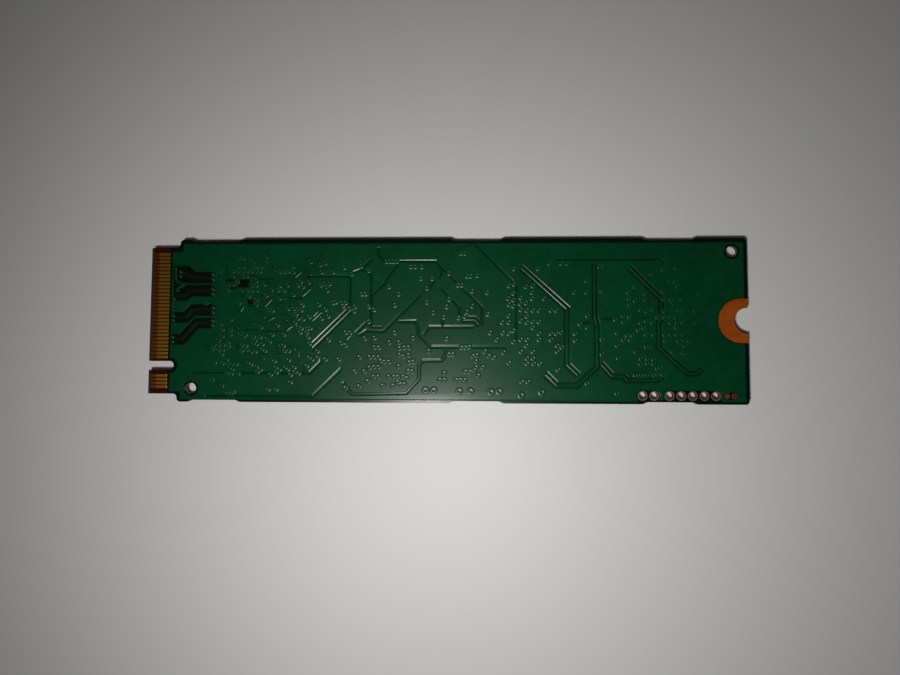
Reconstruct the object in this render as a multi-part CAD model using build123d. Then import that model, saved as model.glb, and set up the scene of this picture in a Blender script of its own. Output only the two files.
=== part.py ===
from build123d import *
import os
from math import floor, hypot

os.makedirs("parts", exist_ok=True)

# A plug-in solid-state storage card, in millimetres. X runs from the edge connector to the screw
# notch, Y across the card, Z up. The card lies on its chips, bare side up: z = 0 is the chips' tops.

# Board
board_length = 80.0
board_width = 22.0
board_thickness = 0.8
board_corner_radius = 0.5
copper_thickness = 0.04

# Connector tongue and its contacts
tongue_length = 4.0
tongue_corner_radius = 0.15
shoulder_width = 1.075
shoulder_fillet = 0.55
bevel_length = 0.38
bevel_depth = 0.2
key_slot_width = 1.2
key_slot_depth = 3.5
key_slot_offset = 6.125
contact_pitch = 0.5
contact_width = 0.35
contact_length = 2.25
contact_setback = 0.4
contact_side_margin = 0.675
contact_slot_clearance = 0.2

# Dips left in the long edges where the card was snapped out of its panel
tab_dip_depth = 0.27
tab_dip_width = 7.15
tab_dip_ramp = 0.55
tab_dip_radius = 0.8
first_tab_from_connector = 9.0
middle_tab_past_middle = 4.33
last_tab_from_screw_end = 10.25

# Screw notch, tooling holes and header holes
screw_notch_radius = 1.75
screw_land_radius = 2.93
screw_land_setback = 0.92
notch_wall_thickness = 0.175
tooling_hole_diameter = 1.5
tooling_hole_edge_inset = 1.8
connector_tooling_inset = 5.9
screw_tooling_inset = 1.95
header_hole_diameter = 1.0
header_pad_diameter = 1.26
header_edge_inset = 1.1
header_end_inset = 4.33
header_pitch = 1.5
header_group_gap = 2.0
header_group_counts = (5, 2)
test_pad_count = 2
test_pad_diameter = 0.7
test_pad_end_inset = 2.0
test_pad_pitch = 0.9

# Rear copper; along the long edges it is kept back from the floor of the dips
pour_end_clearance = 0.45
pour_far_clearance = 0.33
pour_near_clearance = 0.07
pour_contact_clearance = 0.3
pour_slot_clearance = 0.5
pour_hole_clearance = 0.3
pour_pad_clearance = 0.12
groove_width = 0.2
trace_width = 0.32
trace_clearance = 0.2
lane_channel_width = 1.5
lane_trace_width = 0.11
lane_trace_spacing = 0.25

# Chips, all of one height so that the card lies flat
ball_height = 0.25
ball_diameter = 0.5
ball_sides = 5
ball_pitch = 2.9
ball_inset = 0.9
substrate_thickness = 0.25
mould_thickness = 0.8
controller_length = 13.0
controller_width = 13.0
dram_length = 10.0
dram_width = 14.5
nand_length = 14.0
nand_width = 18.0

# Rows of parts along the front of the board
connector_keepout = 5.2
screw_keepout = 4.2
edge_keepout = 0.5
power_zone_length = 4.5
regulator_zone_length = 6.0
part_gap = 0.4

# Power converter, inductors and crystal
power_body_size = 4.0
power_body_height = 0.75
power_lead_count = 3
power_lead_width = 0.3
power_lead_length = 0.5
power_lead_thickness = 0.1
inductor_length = 2.5
inductor_width = 2.0
inductor_height = 1.0
inductor_terminal_length = 0.5
inductor_terminal_thickness = 0.1
inductor_count = 3
crystal_length = 2.5
crystal_width = 2.0
crystal_base_height = 0.4
crystal_lid_height = 0.2
crystal_lid_inset = 0.15

# Chip capacitors and resistors
bulk_chip_length = 2.0
bulk_chip_width = 1.25
bulk_chip_height = 1.0
small_chip_length = 1.0
small_chip_width = 0.5
small_chip_height = 0.5
resistor_chip_length = 1.0
resistor_chip_width = 0.5
resistor_chip_height = 0.35
chip_terminal_share = 0.22
chip_terminal_overlap = 0.03
chip_pitch = 2.6
regulator_bulk_count = 3
power_bulk_count = 2
resistor_count = 4

# Heights and edges that the sizes above give
bulk_chip = (bulk_chip_length, bulk_chip_width, bulk_chip_height)
small_chip = (small_chip_length, small_chip_width, small_chip_height)
resistor_chip = (resistor_chip_length, resistor_chip_width, resistor_chip_height)
board_bottom = ball_height + substrate_thickness + mould_thickness
board_top = board_bottom + board_thickness
half_length = board_length / 2
half_width = board_width / 2
connector_x = -half_length
shoulder_x = connector_x + tongue_length
tongue_half_width = half_width - shoulder_width
contact_end_x = connector_x + contact_setback + contact_length


def save(name, shapes):
    """Write one node: a single solid, or a group of like solids."""
    export_step(Compound(children=list(shapes)), f"parts/{name}.step")


def plate(sketch, z, thickness):
    """Solids of an even thickness from a flat sketch, starting at height z."""
    return (Pos(0, 0, z) * extrude(sketch, thickness, dir=(0, 0, 1))).solids()


def block(x, y, top, length, width, height):
    """Box under the height top, centred at x, y."""
    return Pos(x, y, top) * Box(length, width, height, align=(Align.CENTER, Align.CENTER, Align.MAX))


def spaced(span, pitch):
    """Places spread evenly over a span, from end to end, about one pitch apart."""
    steps = max(1, round(span / pitch))
    return [span * (step / steps - 0.5) for step in range(steps + 1)]


# Board outline: each corner is x, y and its radius, along one long edge and back along the other
def long_edge(side):
    edge = side * half_width
    dip = side * (half_width - tab_dip_depth)
    shoulder_round = min(shoulder_fillet, 0.5 * shoulder_width)
    corner_round = min(board_corner_radius, 0.45 * shoulder_width)
    ramp_length = hypot(tab_dip_ramp, tab_dip_depth)
    tab_round = min(tab_dip_radius, 0.45 * ramp_length * tab_dip_depth / (ramp_length - tab_dip_ramp))
    corners = [
        (connector_x, side * tongue_half_width, tongue_corner_radius),
        (shoulder_x, side * tongue_half_width, shoulder_round),
        (shoulder_x, edge, corner_round),
    ]
    tab_centres = (
        connector_x + first_tab_from_connector,
        middle_tab_past_middle,
        half_length - last_tab_from_screw_end,
    )
    for tab_x in tab_centres:
        outer = tab_dip_width / 2
        inner = outer - tab_dip_ramp
        corners += [
            (tab_x - outer, edge, tab_round),
            (tab_x - inner, dip, tab_round),
            (tab_x + inner, dip, tab_round),
            (tab_x + outer, edge, tab_round),
        ]
    corners.append((half_length, edge, board_corner_radius))
    return corners


outline_corners = long_edge(1) + long_edge(-1)[::-1]
outline = make_face(
    FilletPolyline(
        [(x, y) for x, y, radius in outline_corners],
        radius=[radius for x, y, radius in outline_corners],
        close=True,
    )
)

# Key slot with a round end, open at the connector edge
key_slot_end = connector_x + key_slot_depth - key_slot_width / 2


def key_slot(margin):
    reach = key_slot_width / 2 + margin
    straight = Pos(key_slot_end, 0) * Rectangle(
        key_slot_depth, 2 * reach, align=(Align.MAX, Align.CENTER)
    )
    return Pos(0, -key_slot_offset) * (straight + Pos(key_slot_end, 0) * Circle(reach))


# Hole places
tooling_y = half_width - tooling_hole_edge_inset
tooling_places = [
    (connector_x + connector_tooling_inset, -tooling_y),
    (half_length - screw_tooling_inset, tooling_y),
]
header_y = -half_width + header_edge_inset
header_groups = []
header_x = half_length - header_end_inset
for group_count in header_group_counts:
    header_groups.append([(header_x - hole * header_pitch, header_y) for hole in range(group_count)])
    header_x -= (group_count - 1) * header_pitch + header_group_gap
header_places = sum(header_groups, [])
test_pad_x = half_length - test_pad_end_inset
test_pad_places = [(test_pad_x - pad * test_pad_pitch, header_y) for pad in range(test_pad_count)]


def discs(places, radius):
    return [Pos(x, y) * Circle(radius) for x, y in places]


def round_the_row(places, radius):
    """Round-ended area about a row of places along X."""
    first_x, row_y = places[-1]
    last_x = places[0][0]
    return Pos((first_x + last_x) / 2, row_y) * SlotCenterToCenter(last_x - first_x, 2 * radius)


def screw_land_area(margin):
    """Round-ended land that runs straight out to the screw end of the board."""
    reach = screw_land_radius + margin
    round_x = half_length - screw_land_setback
    straight = Pos(round_x, 0) * Rectangle(
        screw_land_setback, 2 * reach, align=(Align.MIN, Align.CENTER)
    )
    return straight + Pos(round_x, 0) * Circle(reach)


screw_place = [(half_length, 0)]
board_face = outline - key_slot(0)
board_face -= discs(screw_place, screw_notch_radius + notch_wall_thickness)
board_face -= discs(tooling_places, tooling_hole_diameter / 2)
board_face -= discs(header_places, header_pad_diameter / 2)
board = Pos(0, 0, board_bottom) * extrude(board_face, board_thickness)

# Bevel on both faces of the connector's leading edge
for face_z, inward in ((board_top, -1), (board_bottom, 1)):
    wedge = Plane.XZ * Polygon(
        (connector_x, face_z),
        (connector_x + bevel_length, face_z),
        (connector_x, face_z + inward * bevel_depth),
        align=None,
    )
    board -= extrude(wedge, board_width, both=True)
save("circuit_board", board.solids())


# Edge contacts: one place at each pitch that the tongue's width allows, none at the key slot
def contacts(count, bottom):
    slot_reach = (key_slot_width + contact_width) / 2 + contact_slot_clearance
    row = []
    for place in range(count):
        y = (place - (count - 1) / 2) * contact_pitch
        if abs(y + key_slot_offset) > slot_reach:
            x = connector_x + contact_setback + contact_length / 2
            top = bottom + copper_thickness
            row.append(block(x, y, top, contact_length, contact_width, copper_thickness))
    return row


contact_span = 2 * (tongue_half_width - contact_side_margin)
front_count = floor(contact_span / contact_pitch + 0.01) + 1
save("rear_contacts", contacts(front_count - 1, board_top))
save("front_contacts", contacts(front_count, board_bottom - copper_thickness))

# Screw notch: a copper land on each face, joined by the plated half-round wall
land_face = (screw_land_area(0) & outline) - discs(screw_place, screw_notch_radius)
wall_face = land_face & Pos(half_length, 0) * Circle(screw_notch_radius + notch_wall_thickness)
land = Pos(0, 0, board_top) * extrude(land_face, copper_thickness)
land += Pos(0, 0, board_bottom - copper_thickness) * extrude(land_face, copper_thickness)
land += Pos(0, 0, board_bottom) * extrude(wall_face, board_thickness)
save("screw_land", land.solids())

# Header holes: a copper ring right through the board, standing proud of both faces
ring_face = Circle(header_pad_diameter / 2) - Circle(header_hole_diameter / 2)
rings = Sketch() + [Pos(x, y) * ring_face for x, y in header_places]
ring_bottom = board_bottom - copper_thickness
save("header_barrels", plate(rings, ring_bottom, board_thickness + 2 * copper_thickness))
test_pads = Sketch() + discs(test_pad_places, test_pad_diameter / 2)
save("test_pads", plate(test_pads, board_top, copper_thickness))

# Rear routing, drawn by hand in millimetres from the middle of a card of this size; it stretches
# with the board. Grooves split the copper areas, and traces run in channels of their own.
routing_length = 80.0
routing_width = 22.0
groove_routes = [
    [(-34.0, -7.1), (-18.0, -7.1), (-16.5, -5.6)],
    [(-18.5, 5.95), (-12.6, 5.95), (-12.6, 2.2), (-12.2, 1.6)],
    [(-12.6, 6.3), (-11.2, 6.85), (-10.4, 6.65), (-9.8, 6.1), (-9.8, -0.7)],
    [(-11.15, 6.9), (-9.9, 8.2)],
    [(-8.85, 9.8), (-8.85, 8.8), (-8.0, 7.95)],
    [(-9.75, 3.2), (-7.9, 5.2), (-6.0, 7.95), (-1.1, 7.95), (-0.35, 7.1), (5.1, 1.75), (5.1, -0.4)],
    [(-0.3, 7.0), (-0.35, 6.2), (-0.6, 5.7)],
    [(4.0, 10.4), (9.3, 5.1), (9.65, 4.7), (9.65, -2.4)],
    [(-11.8, -1.7), (-10.2, -0.1), (-9.8, -0.7), (-9.7, -0.95), (-8.4, -0.95)],
    [(-6.1, -0.12), (-3.8, -0.12), (-3.5, -0.8), (-3.4, -1.8), (-1.7, -3.55), (8.2, -3.55)],
    [(-2.75, -2.2), (-1.9, -0.88), (3.9, -0.88)],
    [(-0.15, 0.5), (-0.15, -0.85)],
    [(0.2, -3.6), (0.3, -4.6), (-0.3, -5.35), (-2.8, -5.4), (-3.25, -6.0), (-3.25, -7.8),
     (-5.0, -9.7), (-12.2, -9.9), (-13.4, -8.4)],
    [(-32.0, -10.2), (-17.5, -10.2), (-13.8, -6.6)],
    [(-11.5, -2.0), (-10.4, -1.4), (-8.1, -1.5), (-3.1, 3.5)],
    [(-1.95, 4.45), (-1.2, 5.3)],
    [(-0.3, 4.3), (2.1, 1.7), (2.1, 0.9)],
    [(15.0, 8.15), (28.0, 8.15), (28.4, 8.4), (29.3, 7.5)],
    [(18.0, -0.25), (19.6, -0.25)],
    [(20.9, 0.25), (22.5, 0.25)],
]
trace_routes = [
    [(-17.8, -3.7), (-12.7, 1.3)],
    [(2.6, 0.15), (4.1, 0.15), (4.8, -0.5)],
    [(10.3, 7.1), (16.35, 1.6), (16.35, -5.85), (17.75, -7.2)],
    [(13.5, -7.1), (14.95, -8.55), (17.7, -8.6), (20.3, -6.1), (20.3, -0.5), (20.0, 0.5), (20.0, 7.6)],
    [(20.85, -5.8), (22.25, -7.35), (23.8, -7.45), (24.2, -7.85), (28.1, -7.85), (28.9, -7.3)],
    [(24.65, 7.05), (28.75, 2.9), (28.75, 0.2), (28.4, -0.1), (28.4, -3.5), (30.2, -5.3),
     (32.2, -7.0), (33.2, -7.0), (34.0, -6.3)],
]
lane_routes = [
    [(-36.1, 6.35), (-35.0, 6.35), (-34.0, 5.85), (-31.4, 5.85)],
    [(-36.8, 3.35), (-35.2, 3.35), (-34.5, 3.95), (-31.4, 3.95)],
    [(-36.8, 0.4), (-35.0, 0.4), (-34.0, 1.45), (-31.4, 1.45)],
    [(-36.8, -2.6), (-35.5, -2.6), (-33.5, -0.4), (-31.4, -0.4)],
]
bare_patches = [
    ((-28.0, 4.4), (-26.4, 5.6)),
    ((-26.6, 2.1), (-25.8, 2.8)),
    ((-29.7, 5.2), (-28.2, 5.6)),
    ((-29.0, 4.2), (-28.2, 4.7)),
    ((-36.85, 4.0), (-35.6, 5.7)),
]


def on_board(points):
    return [Vector(x * board_length / routing_length, y * board_width / routing_width) for x, y in points]


def strip(route, width, shift=0.0):
    """Flat strip of even width beside a run of straight lines, with mitred corners."""
    path = on_board(route)
    sideways = [(end - start).normalized().rotate(Axis.Z, 90) for start, end in zip(path, path[1:])]
    left = []
    right = []
    for place, point in enumerate(path):
        before = sideways[max(place - 1, 0)]
        after = sideways[min(place, len(sideways) - 1)]
        mitre = (before + after) / (1 + before.dot(after))
        left.append(point + mitre * (shift + width / 2))
        right.append(point + mitre * (shift - width / 2))
    return Polygon(*left, *reversed(right), align=None)


def patch(corners):
    low, high = on_board(corners)
    return Pos((low.X + high.X) / 2, (low.Y + high.Y) / 2) * Rectangle(high.X - low.X, high.Y - low.Y)


copper_start_x = contact_end_x + pour_contact_clearance
copper_wide_x = shoulder_x + pour_end_clearance
copper_end_x = half_length - pour_end_clearance


def copper_between(start_x, end_x, edge_y):
    """Copper from end to end, kept back from the far and the near long edge at +edge_y and -edge_y."""
    low = -edge_y + tab_dip_depth + pour_near_clearance
    high = edge_y - tab_dip_depth - pour_far_clearance
    return Pos((start_x + end_x) / 2, (low + high) / 2) * Rectangle(end_x - start_x, high - low)


copper_area = copper_between(copper_wide_x, copper_end_x, half_width)
copper_area += copper_between(copper_start_x, copper_start_x + tongue_length, tongue_half_width)
copper_area -= [key_slot(pour_slot_clearance), screw_land_area(pour_pad_clearance)]
copper_area -= discs(tooling_places, tooling_hole_diameter / 2 + pour_hole_clearance)
for group in header_groups:
    copper_area -= round_the_row(group, header_pad_diameter / 2 + pour_pad_clearance)
copper_area -= round_the_row(test_pad_places, test_pad_diameter / 2 + pour_pad_clearance)

channel_width = trace_width + 2 * trace_clearance
pour = copper_area - [strip(route, groove_width) for route in groove_routes]
pour -= [strip(route, channel_width) for route in trace_routes]
pour -= [strip(route, lane_channel_width) for route in lane_routes]
pour -= [patch(corners) for corners in bare_patches]
save("rear_pour", plate(pour, board_top, copper_thickness))

trace_strips = [strip(route, trace_width) for route in trace_routes]
for route in lane_routes:
    for side in (-0.5, 0.5):
        trace_strips.append(strip(route, lane_trace_width, side * lane_trace_spacing))
traces = (Sketch() + trace_strips) & copper_area
save("rear_traces", plate(traces, board_top, copper_thickness))

# Front layout: zones in a row from the connector to the screw end, with even gaps
zones = [
    ("power", power_zone_length),
    ("controller", controller_length),
    ("dram", dram_length),
    ("regulator", regulator_zone_length),
    ("nand_a", nand_length),
    ("nand_b", nand_length),
]
zone_room = board_length - connector_keepout - screw_keepout
zone_gap = (zone_room - sum(length for name, length in zones)) / (len(zones) + 1)
zone_x = {}
cursor = connector_x + connector_keepout
for name, length in zones:
    zone_x[name] = cursor + zone_gap + length / 2
    cursor += zone_gap + length

# The flash chips sit midway between the header pads and the far edge
nand_y = (header_y + header_pad_diameter / 2 + half_width - edge_keepout) / 2
chips = {
    "controller": (controller_length, controller_width, 0.0),
    "dram": (dram_length, dram_width, 0.0),
    "nand_a": (nand_length, nand_width, nand_y),
    "nand_b": (nand_length, nand_width, nand_y),
}


def ball_places(length, width):
    """Outer ring of a chip's balls."""
    ring_x = spaced(length - 2 * ball_inset, ball_pitch)
    ring_y = spaced(width - 2 * ball_inset, ball_pitch)
    ends = [(x, y) for x in (ring_x[0], ring_x[-1]) for y in ring_y]
    sides = [(x, y) for x in ring_x[1:-1] for y in (ring_y[0], ring_y[-1])]
    return ends + sides


for name, (length, width, y) in chips.items():
    x = zone_x[name]
    balls = Sketch() + [
        Pos(x + ball_x, y + ball_y) * RegularPolygon(ball_diameter / 2, ball_sides)
        for ball_x, ball_y in ball_places(length, width)
    ]
    save(f"{name}_balls", plate(balls, board_bottom - ball_height, ball_height))
    substrate_top = board_bottom - ball_height
    save(f"{name}_substrate", [block(x, y, substrate_top, length, width, substrate_thickness)])
    mould_top = substrate_top - substrate_thickness
    save(f"{name}_mould", [block(x, y, mould_top, length, width, mould_thickness)])


# Chip capacitors and resistors: a ceramic body between two metal ends
def chip_parts(places, size, along_x):
    length, width, height = size
    end = length * chip_terminal_share
    bodies = []
    terminals = []
    for x, y in places:
        turn = Pos(x, y, 0) * Rot(0, 0, 0 if along_x else 90)
        body_top = board_bottom - chip_terminal_overlap
        body_height = height - 2 * chip_terminal_overlap
        bodies.append(
            turn * block(0, 0, body_top, length - 2 * end, width - 2 * chip_terminal_overlap, body_height)
        )
        for side in (-1, 1):
            terminals.append(turn * block(side * (length - end) / 2, 0, board_bottom, end, width, height))
    return bodies, terminals


def save_chips(name, groups, size):
    bodies = []
    terminals = []
    for places, along_x in groups:
        more_bodies, more_terminals = chip_parts(places, size, along_x)
        bodies += more_bodies
        terminals += more_terminals
    save(f"{name}_bodies", bodies)
    save(f"{name}_terminals", terminals)


# One coupling capacitor stands on each trace of the lane pairs, where they reach the power zone
coupling_places = []
for route in lane_routes:
    lane_y = on_board(route)[-1].Y
    for side in (-1, 1):
        coupling_places.append((zone_x["power"], lane_y + side * (small_chip_width + part_gap) / 2))
save_chips("coupling_capacitor", [(coupling_places, True)], small_chip)

# Power converter with its inductors in a column behind it
regulator_x = zone_x["regulator"]
power_y = half_width - edge_keepout - power_body_size / 2 - part_gap
power_top = board_bottom - power_lead_thickness
save("power_controller_body", [
    block(regulator_x, power_y, power_top, power_body_size, power_body_size, power_body_height)
])
lead_run = power_body_size - 2 * (power_lead_length + power_lead_width)
lead_reach = (power_body_size - power_lead_length) / 2
leads = []
for quarter in range(4):
    for place in spaced(lead_run, lead_run / (power_lead_count - 1)):
        turn = Pos(regulator_x, power_y, 0) * Rot(0, 0, 90 * quarter)
        lead = block(
            lead_reach, place, board_bottom, power_lead_length, power_lead_width, power_lead_thickness
        )
        leads.append(turn * lead)
thermal_pad = lead_run - 2 * part_gap
leads.append(block(regulator_x, power_y, board_bottom, thermal_pad, thermal_pad, power_lead_thickness))
save("power_controller_leads", leads)

inductor_bodies = []
inductor_terminals = []
inductor_y = power_y - power_body_size / 2 - part_gap - inductor_width / 2
for number in range(inductor_count):
    y = inductor_y - number * (inductor_width + part_gap)
    body_top = board_bottom - inductor_terminal_thickness
    body_height = inductor_height - inductor_terminal_thickness
    inductor_bodies.append(block(regulator_x, y, body_top, inductor_length, inductor_width, body_height))
    for side in (-1, 1):
        terminal_x = regulator_x + side * (inductor_length - inductor_terminal_length) / 2
        terminal_size = (inductor_terminal_length, inductor_width, inductor_terminal_thickness)
        inductor_terminals.append(block(terminal_x, y, board_bottom, *terminal_size))
save("inductor_bodies", inductor_bodies)
save("inductor_terminals", inductor_terminals)

# Bulk capacitors: the rest of the inductor column, and the free end of the power zone
bulk_pitch = bulk_chip_width + part_gap
column_y = inductor_y - (inductor_count - 0.5) * inductor_width - inductor_count * part_gap
bulk_places = [
    (regulator_x, column_y - (number + 0.5) * bulk_pitch) for number in range(regulator_bulk_count)
]
power_zone_y = min(y for x, y in coupling_places) - small_chip_width / 2 - part_gap
bulk_places += [
    (zone_x["power"], power_zone_y - (number + 0.5) * bulk_pitch) for number in range(power_bulk_count)
]
save_chips("bulk_capacitor", [(bulk_places, True)], bulk_chip)

# Decoupling capacitors in a row beside the controller and on both sides of the memory chip
beside = part_gap + small_chip_width / 2
controller_row = [
    (zone_x["controller"] + x, controller_width / 2 + beside)
    for x in spaced(controller_length - small_chip_length, chip_pitch)
]
dram_rows = [
    (zone_x["dram"] + x, side * (dram_width / 2 + beside))
    for x in spaced(dram_length - small_chip_length, chip_pitch)
    for side in (-1, 1)
]
save_chips("decoupling_capacitor", [(controller_row + dram_rows, True)], small_chip)

# Crystal and resistors on the controller's other side
crystal_y = -controller_width / 2 - part_gap - crystal_width / 2
crystal_x = zone_x["controller"] - (controller_length - crystal_length) / 2
save("crystal_base", [
    block(crystal_x, crystal_y, board_bottom, crystal_length, crystal_width, crystal_base_height)
])
lid_length = crystal_length - 2 * crystal_lid_inset
lid_width = crystal_width - 2 * crystal_lid_inset
lid_top = board_bottom - crystal_base_height
save("crystal_lid", [block(crystal_x, crystal_y, lid_top, lid_length, lid_width, crystal_lid_height)])
resistor_start = crystal_x + crystal_length / 2 + part_gap + resistor_chip_width / 2
resistor_pitch = resistor_chip_width + part_gap
resistor_y = -controller_width / 2 - part_gap - resistor_chip_length / 2
resistor_places = [
    (resistor_start + number * resistor_pitch, resistor_y) for number in range(resistor_count)
]
save_chips("resistor", [(resistor_places, False)], resistor_chip)
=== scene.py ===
from math import atan2, cos, pi, radians, sin

import bmesh
import bpy
from mathutils import Matrix, Vector
from mathutils.bvhtree import BVHTree


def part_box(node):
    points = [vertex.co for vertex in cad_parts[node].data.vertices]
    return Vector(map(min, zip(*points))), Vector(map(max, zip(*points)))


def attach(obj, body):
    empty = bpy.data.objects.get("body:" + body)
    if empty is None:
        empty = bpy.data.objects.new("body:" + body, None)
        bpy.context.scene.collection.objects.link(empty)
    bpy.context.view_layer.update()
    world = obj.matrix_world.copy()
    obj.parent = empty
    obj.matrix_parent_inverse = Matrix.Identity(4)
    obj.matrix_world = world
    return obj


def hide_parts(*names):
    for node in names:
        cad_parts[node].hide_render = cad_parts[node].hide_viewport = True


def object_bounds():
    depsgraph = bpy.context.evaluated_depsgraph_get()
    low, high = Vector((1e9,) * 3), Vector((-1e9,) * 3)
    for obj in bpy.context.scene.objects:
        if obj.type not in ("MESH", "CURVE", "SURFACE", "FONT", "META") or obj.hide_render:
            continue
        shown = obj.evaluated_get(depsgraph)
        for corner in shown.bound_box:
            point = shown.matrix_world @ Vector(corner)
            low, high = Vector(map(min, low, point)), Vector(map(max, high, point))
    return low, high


# A bare plug-in storage card that lies on its chips, rear side up, with its edge connector towards -X.
# Sizes are in millimetres and become metres where a mesh, a node or a lamp takes them.
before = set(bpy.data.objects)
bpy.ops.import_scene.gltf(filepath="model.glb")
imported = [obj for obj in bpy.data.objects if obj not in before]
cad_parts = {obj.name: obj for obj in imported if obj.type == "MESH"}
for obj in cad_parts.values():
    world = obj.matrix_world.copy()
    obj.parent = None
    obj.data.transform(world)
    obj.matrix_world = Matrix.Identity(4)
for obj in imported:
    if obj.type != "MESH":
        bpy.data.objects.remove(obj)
cad_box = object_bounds()

# Circuit board
# The carrier of everything else: glass cloth and epoxy pressed to a 0.8 mm sheet, routed to its outline
# and printed with green solder mask on both faces. The tongue under the contacts stays unprinted.
mm = 0.001
mask_edge_x = -37.3
zone_blur = 0.03
cloth_pitch = 0.45
ply_pitch = 0.11
cloth_thread_shade = 0.35
cloth_thread_height = 0.002


def linear(colour):
    """Linear colour of an sRGB hex value."""
    shares = [int(colour[place:place + 2], 16) / 255 for place in (0, 2, 4)]
    return [s / 12.92 if s <= 0.04045 else ((s + 0.055) / 1.055) ** 2.4 for s in shares] + [1.0]


def add(owner, kind, inputs=None, **settings):
    """Add a node: its settings, then its sockets, each set to a value or linked to another node's socket."""
    node = owner.node_tree.nodes.new(kind)
    for name, value in settings.items():
        setattr(node, name, value)
    for socket, value in (inputs or {}).items():
        if isinstance(value, bpy.types.NodeSocket):
            owner.node_tree.links.new(value, node.inputs[socket])
        else:
            node.inputs[socket].default_value = value
    return node


def empty_material(name):
    """Material with an empty node tree."""
    material = bpy.data.materials.new(name)
    material.use_nodes = True
    material.node_tree.nodes.clear()
    return material


def dress(material, *names):
    """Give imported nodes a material."""
    for name in names:
        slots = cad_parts[name].data.materials
        slots.clear()
        slots.append(material)


# Glass-epoxy laminate under printed mask: where the mask lies on bare laminate it looks almost black and
# wet, the unprinted tongue is a dull red-brown, and the routed edges show the plies as fine bands.
laminate = empty_material("masked_glass_epoxy_laminate")
place = add(laminate, "ShaderNodeTexCoord").outputs["Object"]
axes = add(laminate, "ShaderNodeSeparateXYZ", {"Vector": place})
surface = add(laminate, "ShaderNodeNewGeometry")
facing = add(laminate, "ShaderNodeSeparateXYZ", {"Vector": surface.outputs["True Normal"]})
unprinted = add(laminate, "ShaderNodeMapRange", {
    "Value": axes.outputs["X"],
    "From Min": (mask_edge_x - zone_blur) * mm,
    "From Max": (mask_edge_x + zone_blur) * mm,
    "To Min": 1.0,
    "To Max": 0.0,
})
upward = add(laminate, "ShaderNodeMapRange", {
    "Value": facing.outputs["Z"], "From Min": -0.3, "From Max": 0.3,
})
steepness = add(laminate, "ShaderNodeMath", {0: facing.outputs["Z"]}, operation="ABSOLUTE")
flat = add(laminate, "ShaderNodeMapRange", {
    "Value": steepness.outputs[0], "From Min": 0.3, "From Max": 0.6,
})
# A wave repeats every 2 pi / 20 of its scaled length, so a pitch in metres gives its scale
plies = add(laminate, "ShaderNodeTexWave", {
    "Vector": place, "Scale": 2 * pi / (20 * ply_pitch * mm), "Distortion": 1.5, "Detail": 2.0,
}, bands_direction="Z")
threads = [
    add(laminate, "ShaderNodeTexWave", {
        "Vector": place, "Scale": 2 * pi / (20 * cloth_pitch * mm), "Distortion": 0.6,
    }, bands_direction=direction)
    for direction in ("X", "Y")
]
cloth = add(laminate, "ShaderNodeMath", {
    0: threads[0].outputs["Fac"], 1: threads[1].outputs["Fac"],
}, operation="MULTIPLY")
cut_edge = add(laminate, "ShaderNodeMix", {
    0: plies.outputs["Fac"], 6: linear("463C2A"), 7: linear("6C6048"),
}, data_type="RGBA")
bare = add(laminate, "ShaderNodeMix", {
    0: cloth.outputs[0], 6: linear("2B0604"), 7: linear("3A0F06"),
}, data_type="RGBA")
printed = add(laminate, "ShaderNodeMix", {
    0: upward.outputs[0], 6: linear("043C24"), 7: linear("020E08"),
}, data_type="RGBA")
face = add(laminate, "ShaderNodeMix", {
    0: unprinted.outputs[0], 6: printed.outputs[2], 7: bare.outputs[2],
}, data_type="RGBA")
colour = add(laminate, "ShaderNodeMix", {
    0: flat.outputs[0], 6: cut_edge.outputs[2], 7: face.outputs[2],
}, data_type="RGBA")
gloss = add(laminate, "ShaderNodeMapRange", {
    "Value": flat.outputs[0], "To Min": 0.55, "To Max": 0.18,
})
relief = add(laminate, "ShaderNodeBump", {
    "Height": cloth.outputs[0], "Strength": cloth_thread_shade, "Distance": cloth_thread_height * mm,
})
shader = add(laminate, "ShaderNodeBsdfPrincipled", {
    "Base Color": colour.outputs[2], "Roughness": gloss.outputs[0], "IOR": 1.52,
    "Normal": relief.outputs["Normal"],
})
add(laminate, "ShaderNodeOutputMaterial", {"Surface": shader.outputs["BSDF"]})
dress(laminate, "circuit_board")

# Rear copper under its mask
# Etched copper areas and traces, covered by the printed mask. The ink runs off the etched edges in a soft
# slope, so that each groove and trace shows as a pair of rounded shoulders instead of a sharp step.
# The slopes are drawn wider than the real ones, so that they show, and duller to give the same light.
slope_steps = 8
slope_crest = 0.2
slope_foot = 0.03
slope_share = 0.42
slope_grade = 0.165
lane_end_x = -31.0
weld_distance = 0.001
sharpest_mitre = 0.3
ink_cloud = 7.0
ink_grain = 0.9
ink_ripple = 0.3
ink_ripple_height = 0.0012
ink_height = slope_grade * (slope_crest + slope_foot)


def new_piece(name, points, faces, material):
    """Mesh piece that rides with the card; its points are in metres."""
    mesh = bpy.data.meshes.new(name)
    mesh.from_pydata(points, [], faces)
    mesh.shade_smooth()
    mesh.materials.append(material)
    piece = bpy.data.objects.new(name, mesh)
    bpy.context.scene.collection.objects.link(piece)
    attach(piece, "root")
    return piece


def ease(share):
    """Smooth step from 0 to 1."""
    return share * share * (3 - 2 * share)


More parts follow.
